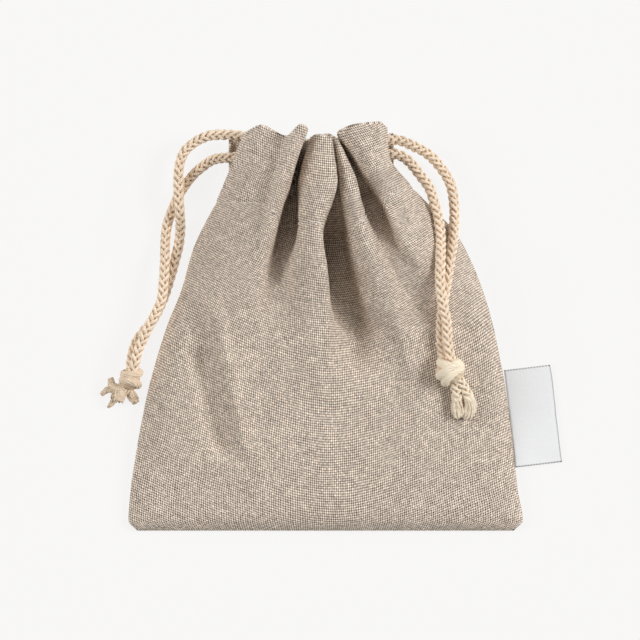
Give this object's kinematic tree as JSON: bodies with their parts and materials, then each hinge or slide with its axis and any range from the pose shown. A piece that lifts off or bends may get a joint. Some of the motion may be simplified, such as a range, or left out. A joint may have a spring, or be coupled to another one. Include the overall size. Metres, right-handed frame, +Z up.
{
  "type": "drawstring pouch",
  "caption": "Small plain-weave linen drawstring pouch lying on its back, mouth gathered by braided cotton cords with knotted, frayed ends, with a blank folded ribbon label in the side seam",
  "frame": {"origin": "on the surface the pouch lies on, under the middle of its length, at the flat back", "axes": "+X across the pouch to the label's side, +Y from the bottom fold to the mouth, +Z up from the surface out of the front"},
  "size_m": [0.1392, 0.1246, 0.025],
  "materials": {
    "linen": "undyed plain-weave linen, matt, with light yarns and dark gaps",
    "cord": "undyed braided cotton, matt and slightly hairy",
    "satin": "white woven satin ribbon, soft sheen"
  },
  "bodies": {
    "root": {"pouch_cloth": "linen", "label": "satin", "left_cord_upper": "cord", "left_cord_lower": "cord", "right_cord_outer": "cord", "right_cord_inner": "cord", "left_knot": "cord", "right_knot": "cord"}
  },
  "joints": []
}
